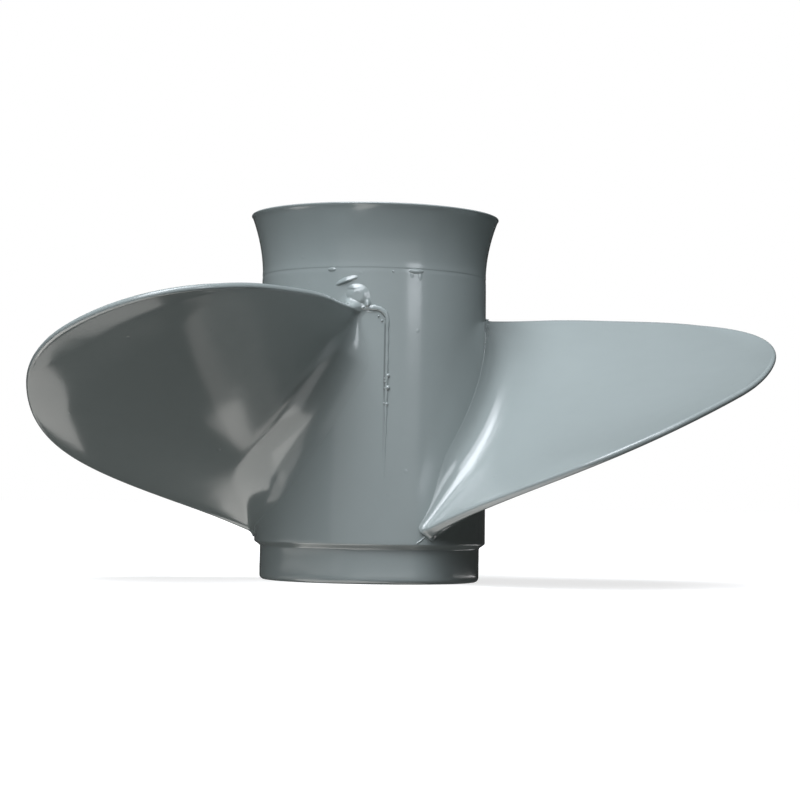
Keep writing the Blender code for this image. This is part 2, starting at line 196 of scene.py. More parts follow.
def clean_up(piece):
    """Merges doubles and turns the faces outwards."""
    edit(piece)
    bpy.ops.mesh.remove_doubles(threshold=0.000001)
    bpy.ops.mesh.normals_make_consistent(inside=False)
    leave_edit()


def settle(piece, name, material, slot, *nodes):
    """Names a finished piece, fixes its place in its mesh, and rides it on the frame."""
    pick(piece)
    bpy.ops.object.transform_apply(location=True, rotation=True, scale=True)
    piece.name = name
    piece.data.name = name
    piece.data.materials.clear()
    piece.data.materials.append(material)
    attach(piece, "root")
    if nodes:
        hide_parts(*nodes)
    return piece


def smooth(piece, angle):
    pick(piece)
    bpy.ops.object.shade_smooth_by_angle(angle=math.radians(angle))


def turned(profile, steps):
    """A ring turned on the shaft axis: a circle laid out as the closed profile, then spun."""
    deselect()
    bpy.ops.mesh.primitive_circle_add(vertices=len(profile), radius=BARREL_BORE_RADIUS)
    piece = bpy.context.active_object
    for vertex, (radius, height) in zip(piece.data.vertices, profile):
        vertex.co = (radius, 0, height)
    edit(piece)
    bpy.ops.mesh.spin(steps=steps, angle=2 * math.pi, center=(0, 0, 0), axis=(0, 0, 1))
    leave_edit()
    clean_up(piece)
    return piece


def ease(share):
    share = min(max(share, 0), 1)
    return share * share * (3 - 2 * share)


def barrel_radius(height):
    share = (height - BARREL_FRONT) / (SEAM_HEIGHT - BARREL_FRONT)
    return BARREL_FRONT_RADIUS + (BARREL_AFT_RADIUS - BARREL_FRONT_RADIUS) * share


def flare_radius(height):
    share = (height - SEAM_HEIGHT) / (HEIGHT - SEAM_HEIGHT)
    return FLARE_BASE_RADIUS + (FLARE_RIM_RADIUS - FLARE_BASE_RADIUS) * share**2


def fillet(distance, reach):
    """How far a softly landing fillet stands off at this distance from its wall."""
    share = min(max(1 - distance / reach, 0), 1)
    return reach * (1 - (1 - share**FILLET_BLUNTNESS) ** (1 / FILLET_BLUNTNESS))


def arc(centre, radius, start, end, count):
    """Points of a round corner in a turned profile, as (radius, height)."""
    turns = [math.radians(start + (end - start) * i / count) for i in range(count + 1)]
    return [(centre[0] + radius * math.cos(turn), centre[1] + radius * math.sin(turn)) for turn in turns]


def make_hub_shell(material):
    """Flare, seam, barrel, chamfer and collar in one skin, with the walls inside."""
    outside = arc((FLARE_RIM_RADIUS - RIM_LIP, HEIGHT - RIM_LIP), RIM_LIP, 90, -12, 5)
    heights = np.linspace(HEIGHT - 1.2 * MM, SEAM_HEIGHT + 2 * MM, 14)
    outside += [(flare_radius(height), height) for height in heights]
    outside += [(BARREL_AFT_RADIUS + out * MM, SEAM_HEIGHT + up * MM) for out, up in SEAM_PROFILE]
    outside += [(barrel_radius(height), height) for height in np.linspace(SEAM_HEIGHT - 4 * MM, 15 * MM, 12)]
    outside += arc((BARREL_FRONT_RADIUS - FOOT_CORNER, FOOT_TOP), FOOT_CORNER, 0, -CHAMFER_LEAN, 5)
    outside += arc((COLLAR_RADIUS + FOOT_CORNER, FOOT_BOTTOM), FOOT_CORNER, 180 - CHAMFER_LEAN, 180, 5)
    outside += [(COLLAR_RADIUS, height * MM) for height in (9, 6, 3)]
    outside += arc((COLLAR_RADIUS - COLLAR_CORNER, COLLAR_CORNER), COLLAR_CORNER, 0, -90, 6)
    inside = arc((COLLAR_BORE_RADIUS + BORE_CORNER, BORE_CORNER), BORE_CORNER, -90, -180, 4)
    inside += [(COLLAR_BORE_RADIUS, 6 * MM), (COLLAR_BORE_RADIUS, 10.4 * MM)]
    inside += arc((BARREL_BORE_RADIUS - 0.6 * MM, 12.2 * MM), 0.6 * MM, -60, 0, 3)
    inside += [(BARREL_BORE_RADIUS, height) for height in np.linspace(20 * MM, SEAM_HEIGHT - 5 * MM, 8)]
    inside += [(BARREL_BORE_RADIUS + 0.1 * MM, SEAM_HEIGHT - 1 * MM)]
    heights = np.linspace(SEAM_HEIGHT + 1.5 * MM, HEIGHT - 1.5 * MM, 9)
    inside += [(flare_radius(height) - FLARE_WALL, height) for height in heights]
    inside += arc((FLARE_RIM_RADIUS - FLARE_WALL + 0.7 * MM, HEIGHT - 0.8 * MM), 0.8 * MM, 175, 90, 4)
    shell = turned(outside + inside, SHELL_STEPS)
    smooth(shell, 50)
    return settle(shell, "hub_shell", material, "grey_enamel", "barrel", "exhaust_flare", "front_collar")


def make_inner_hub(material):
    """The tube that holds the bush, with rounded ends and a lead-in for pressing the bush home."""
    low, high, radius = HUB_LOW.z, HUB_HIGH.z, HUB_HIGH.x
    round_off, lead_in = 1.2 * MM, 1.0 * MM
    outside = arc((radius - round_off, high - round_off), round_off, 90, 0, 5)
    outside += [(radius, height) for height in np.linspace(high - 6 * MM, low + 6 * MM, 10)]
    outside += arc((radius - round_off, low + round_off), round_off, 0, -90, 5)
    inside = [(HUB_BORE_RADIUS + lead_in, low), (HUB_BORE_RADIUS, low + 1.6 * lead_in)]
    inside += [(HUB_BORE_RADIUS, height) for height in np.linspace(low + 6 * MM, high - 6 * MM, 8)]
    inside += [(HUB_BORE_RADIUS, high - 1.6 * lead_in), (HUB_BORE_RADIUS + lead_in, high)]
    hub = turned(outside + inside, 160)
    smooth(hub, 40)
    return settle(hub, "inner_hub_tube", material, "grey_enamel", "inner_hub")


def make_bush(material):
    """A moulded rubber bush: its ends have a lip at the bore and the rim, and a groove between them."""
    low, high = BUSH_LOW.z, BUSH_HIGH.z
    outer, inner = HUB_BORE_RADIUS - BUSH_CLEARANCE, SLEEVE_HIGH.x + BUSH_CLEARANCE
    groove, lip = 2.2 * MM, 0.5 * MM

    def end(height, sign):
        shares = np.linspace(0, 1, 15)
        radii = [outer - lip - (outer - inner - 2 * lip) * share for share in shares]
        return [
            (radius, height - sign * groove * math.sin(math.pi * share) ** 0.6)
            for radius, share in zip(radii, shares)
        ]

    outside = [(outer, high - lip), (outer, (low + high) / 2), (outer, low + lip)]
    inside = [(inner, low + lip), (inner, (low + high) / 2), (inner, high - lip)]
    bush = turned(outside + end(low, -1) + inside + end(high, 1)[::-1], 120)
    smooth(bush, 40)
    return settle(bush, "bush", material, "black_rubber", "rubber_bush")


def spline_depth(turn):
    """How deep the sleeve's bore is cut at this angle: 0 on a tooth's land, 1 on a groove's floor."""
    share = abs((turn / (2 * math.pi) * SPLINE_COUNT + 0.5) % 1 - 0.5)
    return 1 - ease((share - SPLINE_LAND) / SPLINE_FLANK)


def make_sleeve(material):
    """The brass sleeve: turned outside, with chamfered ends and straight splines cut through its bore."""
    low, high, radius = SLEEVE_LOW.z, SLEEVE_HIGH.z, SLEEVE_HIGH.x
    chamfer = 0.7 * MM
    outside = [(radius - chamfer, high), (radius, high - chamfer)]
    outside += [(radius, height) for height in np.linspace(high - 8 * MM, low + 8 * MM, 6)]
    outside += [(radius, low + chamfer), (radius - chamfer, low)]
    mouth = SPLINE_MAJOR_RADIUS + 0.5 * MM
    lands = (low + SPLINE_LEAD_IN, (low + high) / 2, high - SPLINE_LEAD_IN)
    inside = [(mouth, low), *((SPLINE_MINOR_RADIUS, height) for height in lands), (mouth, high)]
    sleeve = turned(outside + inside, 28 * SPLINE_COUNT)
    for vertex in sleeve.data.vertices:
        spot = vertex.co.to_2d()
        if spot.length < SPLINE_MINOR_RADIUS + 0.1 * MM:
            turn = math.atan2(spot.y, spot.x)
            cut = (SPLINE_MAJOR_RADIUS - SPLINE_MINOR_RADIUS) * spline_depth(turn)
            vertex.co.xy = spot.normalized() * (spot.length + cut)
    smooth(sleeve, 40)
    return settle(sleeve, "sleeve", material, "turned_brass", "splined_sleeve")


def make_webs(material):
    """Cast webs between inner tube and barrel: they thicken into both walls, and their ends are hollowed."""
    inner, outer = HUB_HIGH.x - 0.3 * MM, BARREL_BORE_RADIUS + 0.3 * MM
    low, high = RIB_LOW.z, RIB_HIGH.z
    for number in range(1, BLADE_COUNT + 1):
        deselect()
        bpy.ops.mesh.primitive_cube_add(size=1, location=(0.5, 0, 0.5))
        web = bpy.context.active_object
        bpy.ops.object.transform_apply(location=True)
        for axis, cuts in enumerate((21, 7, 31)):
            subdivide_along(web, axis, cuts)
        azimuth = math.radians(BLADE_AZIMUTH + RIB_SWEEP + 360 / BLADE_COUNT * (number - 1))
        for vertex in web.data.vertices:
            share, side, up = vertex.co
            radius = inner + (outer - inner) * share
            wall = min(radius - inner, outer - radius)
            half = WEB_THICKNESS / 2 + fillet(wall, WEB_ROOT)
            edge = math.sqrt(max(1 - (2 * abs(side)) ** WEB_BLUNTNESS, 0))
            scoop = WEB_SCOOP * math.sin(math.pi * share) + WEB_CORNER * (1 - edge)
            height = low + scoop + (high - low - 2 * scoop) * up
            across = 2 * side * half
            radius = math.sqrt(max(radius**2 - across**2, 0)) if share in (0, 1) else radius
            vertex.co = (
                radius * math.cos(azimuth) - across * math.sin(azimuth),
                radius * math.sin(azimuth) + across * math.cos(azimuth),
                height,
            )
        clean_up(web)
        smooth(web, 60)
        settle(web, f"web_{number}", material, "grey_enamel", f"rib_{number}")


def blade_height(radius, sweep):
    out = radius - ROOT_RADIUS
    return BLADE_FOOT + PITCH * sweep / 360 + RAKE * out - RAKE_CURVE * out**2


def place(radius, sweep, height):
    turn = math.radians(sweep)
    return np.array([radius * math.cos(turn), radius * math.sin(turn), height])


def surface_point(radius, sweep):
    return place(radius, sweep, blade_height(radius, sweep))


def helix(radius):
    """As (outwards, round, up): along the helix to the trailing edge, and out of the pressure face."""
    slope = math.atan(PITCH / (2 * math.pi * radius))
    return np.array([0, math.cos(slope), math.sin(slope)]), np.array([0, -math.sin(slope), math.cos(slope)])


class EdgeCurve:
    """A natural cubic spline through EDGE_LINE, by distance along it."""

    def __init__(self, points):
        self.unit = np.array([1, math.radians(100)])
        self.points = np.array(points, float) * self.unit
        steps = np.linalg.norm(np.diff(self.points, axis=0), axis=1)
        self.knots = np.append(0, np.cumsum(steps))
        system, bend = np.eye(len(points)), np.zeros_like(self.points)
        slopes = np.diff(self.points, axis=0) / steps[:, None]
        for i in range(1, len(points) - 1):
            system[i, i - 1 : i + 2] = steps[i - 1], 2 * (steps[i - 1] + steps[i]), steps[i]
            bend[i] = 6 * (slopes[i] - slopes[i - 1])
        self.bend = np.linalg.solve(system, bend)
        self.samples = np.linspace(0, self.knots[-1], 1500)
        places = np.array([self.at(distance) for distance in self.samples])
        self.radii = places[:, 0]
        self.rim = np.array([surface_point(*spot) for spot in places])

    def at(self, distance):
        """(radius in metres, sweep in degrees)"""
        i = int(np.clip(np.searchsorted(self.knots, distance) - 1, 0, len(self.knots) - 2))
        step = self.knots[i + 1] - self.knots[i]
        before, after = self.knots[i + 1] - distance, distance - self.knots[i]
        value = (self.bend[i] * before**3 + self.bend[i + 1] * after**3) / (6 * step)
        value += (self.points[i] / step - self.bend[i] * step / 6) * before
        value += (self.points[i + 1] / step - self.bend[i + 1] * step / 6) * after
        return value / self.unit * (MM, 1)

    def leading_at(self, radius):
        outwards = self.samples <= self.knots[LEADING_CORNER]
        return float(np.interp(radius, self.radii[outwards], self.samples[outwards]))

    def trailing_at(self, radius):
        inwards = self.samples >= self.knots[TRAILING_CORNER]
        return float(np.interp(radius, self.radii[inwards][::-1], self.samples[inwards][::-1]))

    def outward(self, distance):
        """In the blade's surface, square to the edge and away from the blade, as (outwards, round, up)."""
        before, after = self.at(distance - 0.5), self.at(distance + 0.5)
        radius = self.at(distance)[0]
        rise = blade_height(*after) - blade_height(*before)
        run = np.array([after[0] - before[0], math.radians(after[1] - before[1]) * radius, rise])
        out = np.cross(run, helix(radius)[1])
        return out / np.linalg.norm(out)

    def inset(self, point):
        """How far inside the edge line a point of the blade's middle surface lies."""
        return float(np.sqrt(((self.rim - point) ** 2).sum(axis=1).min()))


EDGE = EdgeCurve(EDGE_LINE)


def root_point(chord):
    sweep = EDGE_LINE[0][1] + (EDGE_LINE[-1][1] - EDGE_LINE[0][1]) * chord
    return np.array([barrel_radius(blade_height(ROOT_RADIUS, sweep)) - SINK, sweep])


def edge_distance(chord, span):
    if span == 1:
        first, last = EDGE.knots[LEADING_CORNER], EDGE.knots[TRAILING_CORNER]
        return first + (last - first) * chord
    corner = EDGE_LINE[TRAILING_CORNER if chord else LEADING_CORNER][0] * MM
    start = root_point(chord)[0]
    radius = start + (corner - start) * span
    return EDGE.trailing_at(radius) if chord else EDGE.leading_at(radius)


def blade_sheet(chord, span):
    """(radius, sweep) inside the edge line, blended from its four sides."""
    lead, trail = EDGE.at(edge_distance(0, span)), EDGE.at(edge_distance(1, span))
    root, tip = root_point(chord), EDGE.at(edge_distance(chord, 1))
    corners = (1 - chord) * ((1 - span) * root_point(0) + span * EDGE.at(edge_distance(0, 1)))
    corners += chord * ((1 - span) * root_point(1) + span * EDGE.at(edge_distance(1, 1)))
    return (1 - span) * root + span * tip + (1 - chord) * lead + chord * trail - corners


def cup(radius, sweep):
    """Lift of the tip's trailing part towards the pressure side: a band that bends up along a soft crease."""
    if sweep < CUP_MIDDLE:
        width = CUP_WIDTH * ease((sweep - CUP_START) / (CUP_MIDDLE - CUP_START))
    else:
        width = CUP_WIDTH * (1 - min((sweep - CUP_MIDDLE) / (CUP_END - CUP_MIDDLE), 1) ** 2.2)
    if width < 0.1 * MM or radius < CUP_INNER_RADIUS:
        return 0
    share = max(1 - EDGE.inset(surface_point(radius, sweep)) / width, 0)
    return CUP_HEIGHT * width / CUP_WIDTH * share**1.6


def fillet_reach(chord, sizes):
    """A fillet's size along the root, from its three sizes: leading edge, middle and trailing edge."""
    leading, middle, trailing = sizes
    grown = leading + (middle - leading) * ease(chord / LEADING_RUN)
    return grown + (trailing - middle) * ease((chord - 1 + TRAILING_RUN) / TRAILING_RUN)


def flatter(share, bluntness):
    """Part of a unit circle's sine or cosine, spread so that the circle is squarer."""
    return math.copysign(abs(share) ** (2 / bluntness), share)


def edge_half(chord, span):
    """Half the thickness of the blade's edge, which is bluntest at the leading edge's root."""
    nose = NOSE_SWELL * max(1 - chord / NOSE_RUN, 0) ** 2 * (1 - span) ** 6
    return TIP_EDGE + (ROOT_EDGE - TIP_EDGE) * (1 - span) ** 2 + nose


def rim_offset(chord, span, layer, stand_off):
    """From the edge line to the blade's rounded edge, which swells into a fillet at the end of the root."""
    distance = edge_distance(chord, span)
    along, across = helix(EDGE.at(distance)[0])
    turn = math.pi * (layer - 0.5)
    bluntness = TIP_BLUNTNESS + (ROOT_BLUNTNESS - TIP_BLUNTNESS) * (1 - span)
    half = edge_half(chord, span)
    out = flatter(math.cos(turn), bluntness) * EDGE.outward(distance)
    offset = half * (out + flatter(math.sin(turn), bluntness) * across)
    if span < 1:
        end = TAIL_FILLET if chord else NOSE_FILLET
        side = fillet_reach(chord, PRESSURE_FILLET if turn > 0 else SUCTION_FILLET)
        swell = fillet(stand_off, end + (side - end) * math.sin(turn) ** 2)
        offset = offset + swell * (math.cos(turn) * (along if chord else -along) + math.sin(turn) * across)
    return offset


def face_offset(chord, span, layer, radius, stand_off):
    """From the middle surface to one of the faces: the pressure face is flat, the suction face cambered."""
    half = edge_half(chord, span)
    share = (radius - ROOT_RADIUS) / (TIP_RADIUS - ROOT_RADIUS)
    thickest = ROOT_THICKNESS + (TIP_THICKNESS - ROOT_THICKNESS) * share
    bulge = (thickest - 2 * half) * (4 * chord * (1 - chord)) ** CAMBER_POWER * ease(4 * (1 - span))
    low = -half - bulge - fillet(stand_off, fillet_reach(chord, SUCTION_FILLET))
    high = half + fillet(stand_off, fillet_reach(chord, PRESSURE_FILLET))
    return (low + (high - low) * layer) * helix(radius)[1]


def blade_point(chord, span, layer):
    """Where a point of the cut cube goes: layer runs from the suction side, 0, to the pressure side, 1."""
    radius, sweep = blade_sheet(chord, span)
    height = blade_height(radius, sweep)
    stand_off = max(radius - barrel_radius(height), 0)
    if chord in (0, 1) or span == 1:
        offset = rim_offset(chord, span, layer, stand_off)
    else:
        offset = face_offset(chord, span, layer, radius, stand_off)
    outwards, round_shaft, up = offset + cup(radius, sweep) * helix(radius)[1]
    moved_height = height + up
    moved_radius = radius + outwards + barrel_radius(moved_height) - barrel_radius(height)
    floor = barrel_radius(moved_height) - SINK
    moved_radius = max(moved_radius, floor) if span else floor
    return place(moved_radius, sweep + math.degrees(round_shaft / radius), moved_height)


def chord_share(share):
    """Columns lie closer together towards both edges."""
    return (1 - math.cos(math.pi * share)) / 2 * 0.7 + share * 0.3


def span_share(share):
    """Rows follow the fillet's curve at the root, and lie closer together again at the tip."""
    foot = SUCTION_FILLET[1] / (EDGE_LINE[LEADING_CORNER][0] * MM - ROOT_RADIUS)
    if share < FOOT_SHARE:
        turn = math.pi / 2 * share / FOOT_SHARE
        return foot * (1 - math.cos(turn) ** (2 / FILLET_BLUNTNESS))
    rest = (share - FOOT_SHARE) / (1 - FOOT_SHARE)
    return foot + (1 - foot) * rest * (1.3 - 0.3 * rest**2)


def subdivide_along(piece, axis, cuts):
    """Cuts a cube across one axis, by its edges that run along it."""
    edit(piece)
    bpy.ops.mesh.select_all(action="DESELECT")
    bpy.ops.mesh.select_mode(type="EDGE")
    mesh = bmesh.from_edit_mesh(piece.data)
    for edge in mesh.edges:
        run = edge.verts[1].co - edge.verts[0].co
        edge.select = abs(run[axis]) > 0.5
    bmesh.update_edit_mesh(piece.data)
    bpy.ops.mesh.subdivide(number_cuts=cuts)
    leave_edit()


def make_blades(material):
    """A cube whose sides stand for chord, span and thickness, cut finely and laid out along the helix."""
    deselect()
    bpy.ops.mesh.primitive_cube_add(size=1, location=(0.5, 0.5, 0.5))
    blade = bpy.context.active_object
    bpy.ops.object.transform_apply(location=True)
    for axis, cuts in enumerate((CHORD_CUTS, SPAN_CUTS, LAYER_CUTS)):
        subdivide_along(blade, axis, cuts)
    for vertex in blade.data.vertices:
        chord, span, layer = (round(value, 5) for value in vertex.co)
        vertex.co = blade_point(chord_share(chord), span_share(span), layer)
    clean_up(blade)
    smooth(blade, 50)
    blades = []
    for number in range(1, BLADE_COUNT + 1):
        pick(blade)
        bpy.ops.object.duplicate()
        copy = bpy.context.active_object
        copy.rotation_euler.z = math.radians(BLADE_AZIMUTH + 360 / BLADE_COUNT * (number - 1))
        blades.append(settle(copy, f"cast_blade_{number}", material, "grey_enamel", f"blade_{number}"))
    bpy.data.objects.remove(blade)
    return blades


def ridge_route():
    """The mould's parting line from a blade's trailing edge: along the barrel, round a corner and down."""
    start = EDGE_LINE[-1][1]
    route = [(sweep, PARTING_HEIGHT) for sweep in np.linspace(start, PARTING_SWEEP - PARTING_CORNER, 8)]
    down = math.radians(PARTING_CORNER) * ROOT_RADIUS
    for turn in np.linspace(0, math.pi / 2, 9)[1:]:
        sweep = PARTING_SWEEP - PARTING_CORNER * (1 - math.sin(turn))
        route.append((sweep, PARTING_HEIGHT - down * (1 - math.cos(turn))))
    route += [(PARTING_SWEEP, height) for height in np.linspace(PARTING_HEIGHT - down, PARTING_FOOT, 40)[1:]]
    return route


def join(parts):
    """Joins the other parts to the first."""
    deselect()
    for part in parts:
        part.select_set(True)
    bpy.context.view_layer.objects.active = parts[0]
    bpy.ops.object.join()
    return parts[0]


def make_ridge(azimuth, route):
    """A raised line where the mould's halves met, steeper inside its bend, by (sweep, height, size)."""
    deselect()
    bpy.ops.mesh.primitive_cylinder_add(vertices=RIDGE_SIDES, radius=1, depth=1, location=(0, 0, 0.5))
    ridge = bpy.context.active_object
    bpy.ops.object.transform_apply(location=True)
    last = len(route) - 1
    subdivide_along(ridge, 2, last - 1)
    for vertex in ridge.data.vertices:
        i = round(vertex.co.z * last)
        before, after = route[max(i - 1, 0)], route[min(i + 1, last)]
        run = Vector((math.radians(after[0] - before[0]) * ROOT_RADIUS, after[1] - before[1])).normalized()
        sweep, height, here = route[i]
        across = vertex.co.x * here * (RIDGE_OUTER if vertex.co.x > 0 else RIDGE_INNER)
        out = vertex.co.y * here * RIDGE_HEIGHT
        right, up = -run.y * across, run.x * across
        radius = barrel_radius(height + up) + out
        vertex.co = place(radius, azimuth + sweep + math.degrees(right / ROOT_RADIUS), height + up)
    clean_up(ridge)
    return ridge


def add_bead(azimuth, height, half_width, depth, half_height):
    """A drop of enamel on the hub, by its place and its sizes in millimetres."""
    centre = place(barrel_radius(height * MM) - 0.1 * MM, azimuth, height * MM)
    bpy.ops.mesh.primitive_uv_sphere_add(segments=20, ring_count=12, radius=MM, location=centre)
    bead = bpy.context.active_object
    bead.scale = (depth, half_width, half_height)
    bead.rotation_euler.z = math.radians(azimuth)
    return bead


def mark_relief(right, up, seed):
    """Thickness of the enamel's lumps, which have run downwards, over the casting's skin in millimetres."""
    inner, outer = MARK_HEM
    relief = -MARK_SINK - MARK_HEM_SINK * ease((math.hypot(right, up) - inner) / (outer - inner))
    for x, y, width, height, turn, thickness in MARK_LUMPS:
        turn = math.radians(turn)
        along = (right - x) * math.cos(turn) + (up - y) * math.sin(turn)
        across = (up - y) * math.cos(turn) - (right - x) * math.sin(turn)
        height *= LUMP_SKEW[0] if across > 0 else LUMP_SKEW[1]
        wobble = 0.04 * math.sin(1.7 * right + seed) * math.sin(1.3 * up + 2 * seed)
        relief += thickness * ease(1 - math.hypot(along / width, across / height) + wobble)
    return relief


def make_root_end(azimuth, blade, seed):
    """The lumpy end of a trailing edge's root: a grid laid over the casting's skin, raised by its relief."""
    skin = BVHTree.FromObject(blade, bpy.context.evaluated_depsgraph_get())
    deselect()
    bpy.ops.mesh.primitive_grid_add(x_subdivisions=84, y_subdivisions=84, size=2)
    mark = bpy.context.active_object
    for vertex in mark.data.vertices:
        right, up = MARK_REACH * vertex.co.x, MARK_REACH * vertex.co.y
        height = MARK_HEIGHT + up * MM
        turn = azimuth + MARK_SWEEP + math.degrees(right * MM / ROOT_RADIUS)
        outside = Vector(place(1.5 * ROOT_RADIUS, turn, height))
        wall = barrel_radius(height)
        hit = skin.ray_cast(outside, Vector((-outside.x, -outside.y, 0)).normalized())[0]
        boss = MARK_RISE * ease((MARK_SHOULDER - math.hypot(right, up)) / (MARK_SHOULDER - MARK_FACE)) * MM
        stand_off = min(max(hit.to_2d().length - wall, boss), MARK_LIMIT * MM) if hit else boss
        vertex.co = place(wall + stand_off + mark_relief(right, up, seed) * MM, turn, height)
    return mark


def uneven(route, seed):
    """Gives each point of a (sweep, height) route a size that varies as thick enamel does."""
    spots = []
    for i, (sweep, height) in enumerate(route):
        size = 1 + 0.2 * math.sin(2.1 * i + seed) * math.sin(0.7 * i)
        run_out = 0.25 + 0.75 * ease((height - PARTING_FOOT) / PARTING_FADE)
        run_out += PARTING_SWELL * ease((height - SWELL_HEIGHT) / SWELL_RISE)
        spots.append((sweep, height, size * run_out))
    return spots


def make_parting_ridges(material, blades):
    """The mould's parting line at both ends of each blade's root, with the enamel's lumps along it."""
    for number, blade in enumerate(blades, 1):
        azimuth = BLADE_AZIMUTH + 360 / BLADE_COUNT * (number - 1)
        parts = [make_ridge(azimuth, uneven(ridge_route(), number)), make_root_end(azimuth, blade, number)]
        parts.append(make_ridge(azimuth, [(sweep, height * MM, 0.5) for sweep, height in NOSE_LINE]))
        for sweep, height, size in PARTING_BEADS:
            parts.append(add_bead(azimuth + sweep, height, size, size, size))
        ridge = join(parts)
        smooth(ridge, 60)
        settle(ridge, f"parting_ridge_{number}", material, "grey_enamel")


def make_seam_runs(material):
    """Drops and short runs of enamel along the seam."""
    runs = join([add_bead(*run) for run in SEAM_RUNS])
    smooth(runs, 60)
    settle(runs, "seam_runs", material, "grey_enamel")


def make_floor(material):
    deselect()
    bpy.ops.mesh.primitive_plane_add(size=12, location=(0, 0, 0))
    floor = bpy.context.active_object
    floor.name = "floor"
    floor.data.materials.append(material)
    floor.visible_diffuse = floor.visible_glossy = floor.visible_shadow = False


def make_camera():
    pitch, yaw, roll = (math.radians(angle) for angle in (CAMERA_PITCH, CAMERA_YAW, CAMERA_ROLL))
    ahead = Vector((math.sin(yaw) * math.cos(pitch), math.cos(yaw) * math.cos(pitch), math.sin(pitch)))
    level_right = Vector((math.cos(yaw), -math.sin(yaw), 0))
    level_up = level_right.cross(ahead)
    right = math.cos(roll) * level_right + math.sin(roll) * level_up
    up = math.cos(roll) * level_up - math.sin(roll) * level_right
    camera = bpy.data.objects.new("camera", bpy.data.cameras.new("camera"))
    bpy.context.scene.collection.objects.link(camera)
    camera.data.lens = CAMERA_LENS
    camera.matrix_world = Matrix.Translation(CAMERA_PLACE) @ Matrix((right, up, -ahead)).transposed().to_4x4()
    bpy.context.scene.camera = camera


def add_panel(name, bearing, lift, width, height, distance, radiance, colour=WHITE):
    """A soft box seen from the object at this bearing and lift above level.

    A bearing of 0 is the camera's side, and + is to its right. Width and height are angles too, and radiance
    is the brightness of its face.
    """
    turn, rise = math.radians(bearing), math.radians(lift)
    towards = Vector((math.sin(turn) * math.cos(rise), -math.cos(turn) * math.cos(rise), math.sin(rise)))
    data = bpy.data.lights.new(name, "AREA")
    data.shape = "RECTANGLE"
    data.size = 2 * distance * math.tan(math.radians(width / 2))
    data.size_y = 2 * distance * math.tan(math.radians(height / 2))
    data.energy = math.pi * data.size * data.size_y * radiance
    data.color = colour
    light = bpy.data.objects.new(name, data)
    bpy.context.scene.collection.objects.link(light)
    light.location = LIGHT_AIM + distance * towards
    light.rotation_euler = towards.to_track_quat("Z", "Y").to_euler()
    light.visible_camera = False
    return light


def add_glow(name, centre, size, radiance, colour=WHITE):
    """The sheen of one lit part of the floor, seen in the enamel only: centre and size are in millimetres."""
    deselect()
    bpy.ops.object.light_add(type="AREA", location=Vector(centre) * MM)
    light = bpy.context.active_object
    light.name = name
    light.rotation_euler.x = math.pi
    light.data.shape = "RECTANGLE"
    light.data.size, light.data.size_y = (side * MM for side in size)
    light.data.energy = math.pi * light.data.size * light.data.size_y * radiance
    light.data.color = colour
    light.visible_camera = light.visible_diffuse = False


class Socket:
    """A shader socket that adds, subtracts and multiplies as a number does."""

    def __init__(self, graph, output):
        self.graph, self.output = graph, output

    def __add__(self, other):
        return self.graph.maths("ADD", self, other)

    def __sub__(self, other):
        return self.graph.maths("SUBTRACT", self, other)

    def __rsub__(self, other):
        return self.graph.maths("SUBTRACT", other, self)

    def __mul__(self, other):
        return self.graph.maths("MULTIPLY", self, other)

    def __pow__(self, other):
        return self.graph.maths("POWER", self, other)

    __radd__, __rmul__ = __add__, __mul__


class Graph:
    """A node tree that is written as expressions."""

    def __init__(self, tree):
        self.tree = tree

    def node(self, kind, settings=None, sockets=None, output=0):
        """Adds a node: its settings come first, then the values or links of its sockets."""
        node = self.tree.nodes.new(kind)
        for name, value in (settings or {}).items():
            setattr(node, name, value)
        for name, value in (sockets or {}).items():
            self.feed(node.inputs[name], value)
        return Socket(self, node.outputs[output])

    def feed(self, socket, value):
        if isinstance(value, Socket):
            self.tree.links.new(value.output, socket)
        else:
            socket.default_value = value

    def maths(self, operation, first, second):
        return self.node("ShaderNodeMath", {"operation": operation}, {0: first, 1: second})

    def rise(self, value, low, high):
        """0 below low, 1 above high, and eased between them."""
        sockets = {"Value": value, "From Min": low, "From Max": high}
        return self.node("ShaderNodeMapRange", {"interpolation_type": "SMOOTHSTEP"}, sockets)

    def noise(self, place_in, scale, detail=2.0, roughness=0.5):
        sockets = {"Vector": place_in, "Scale": scale, "Detail": detail, "Roughness": roughness}
        return self.node("ShaderNodeTexNoise", sockets=sockets)

    def blend(self, share, first, second):
        """Mixes two colours."""
        return self.node("ShaderNodeMix", {"data_type": "RGBA"}, {0: share, 6: first, 7: second}, output=2)

    def shade(self, colour, factor):
        """Multiplies a colour by a value."""
        grey = self.node("ShaderNodeCombineXYZ", sockets={0: factor, 1: factor, 2: factor})
        return self.node("ShaderNodeVectorMath", {"operation": "MULTIPLY"}, {0: colour, 1: grey})

    def bump(self, height, distance, normal=None):
        sockets = {"Height": height, "Distance": distance}
        if normal:
            sockets["Normal"] = normal
        return self.node("ShaderNodeBump", sockets=sockets)


class Finish(Graph):
    """A material with a Principled shader."""

    def __init__(self, name, **constants):
        self.material = bpy.data.materials.new(name)
        self.material.use_nodes = True
        super().__init__(self.material.node_tree)
        self.shader = self.tree.nodes["Principled BSDF"]
        for socket, value in constants.items():
            self.shader.inputs[socket.replace("_", " ")].default_value = value
        coordinates = self.tree.nodes.new("ShaderNodeTexCoord")
        self.place = Socket(self, coordinates.outputs["Object"])
        axes = self.tree.nodes.new("ShaderNodeSeparateXYZ")
        self.feed(axes.inputs[0], self.place)
        self.x, self.y, self.z = (Socket(self, output) for output in axes.outputs)

    def set(self, socket, value):
        self.feed(self.shader.inputs[socket], value)


